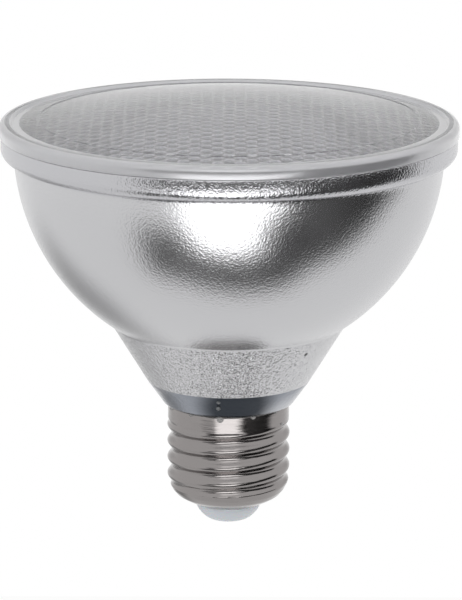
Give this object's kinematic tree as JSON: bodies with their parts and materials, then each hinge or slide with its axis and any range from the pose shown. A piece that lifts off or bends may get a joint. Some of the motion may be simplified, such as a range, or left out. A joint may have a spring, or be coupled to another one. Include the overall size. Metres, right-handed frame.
{
  "type": "par spotlight bulb",
  "caption": "Short-neck spotlight bulb with a silvered pressed-glass bowl, a clear domed lens with a honeycomb inside, and a nickel-plated screw cap.",
  "frame": {"origin": "tip of the centre contact, on the lamp's axis", "axes": "+Z along the axis from the screw cap to the lens; +Y points away from the viewer of the picture"},
  "size_m": [0.0966, 0.0966, 0.0914],
  "materials": {
    "lens_glass": "clear, polished outside, honeycomb inside",
    "silvered_glass": "glass with a mirror coating on the inside",
    "sink_aluminium": "bare, satin",
    "white_board": "white solder mask, satin",
    "light_package": "white case with yellow phosphor",
    "screw_steel": "zinc plated",
    "connector_plastic": "natural white",
    "sleeve_plastic": "white",
    "circuit_board": "green solder mask",
    "ferrite": "dark grey, matt",
    "copper_wire": "enamelled copper",
    "capacitor_can": "black shrink film",
    "resistor_body": "green lacquer",
    "film_case": "dipped, glossy",
    "chip_plastic": "black epoxy",
    "red_insulation": "red sleeve",
    "black_insulation": "black sleeve",
    "tinned_wire": "tinned",
    "clear_cement": "translucent silicone",
    "nickel_plate": "bright nickel plate",
    "white_insulator": "bluish white, slightly glossy",
    "contact_metal": "tinned rivet"
  },
  "bodies": {
    "root": {"front_lens": "lens_glass", "reflector_body": "silvered_glass", "heat_sink": "sink_aluminium", "led_board": "white_board", "led_packages": "light_package", "board_screws": "screw_steel", "board_connector": "connector_plastic", "driver_sleeve": "sleeve_plastic", "driver_board": "circuit_board", "transformer_core": "ferrite", "transformer_winding": "copper_wire", "bulk_capacitor": "capacitor_can", "fuse_resistor": "resistor_body", "film_capacitor": "film_case", "bridge_rectifier": "chip_plastic", "driver_chip": "chip_plastic", "led_lead_positive": "red_insulation", "led_lead_negative": "black_insulation", "centre_lead": "tinned_wire", "shell_lead": "tinned_wire", "neck_cement": "clear_cement", "screw_shell": "nickel_plate", "cap_insulator": "white_insulator", "centre_contact": "contact_metal"}
  },
  "joints": []
}
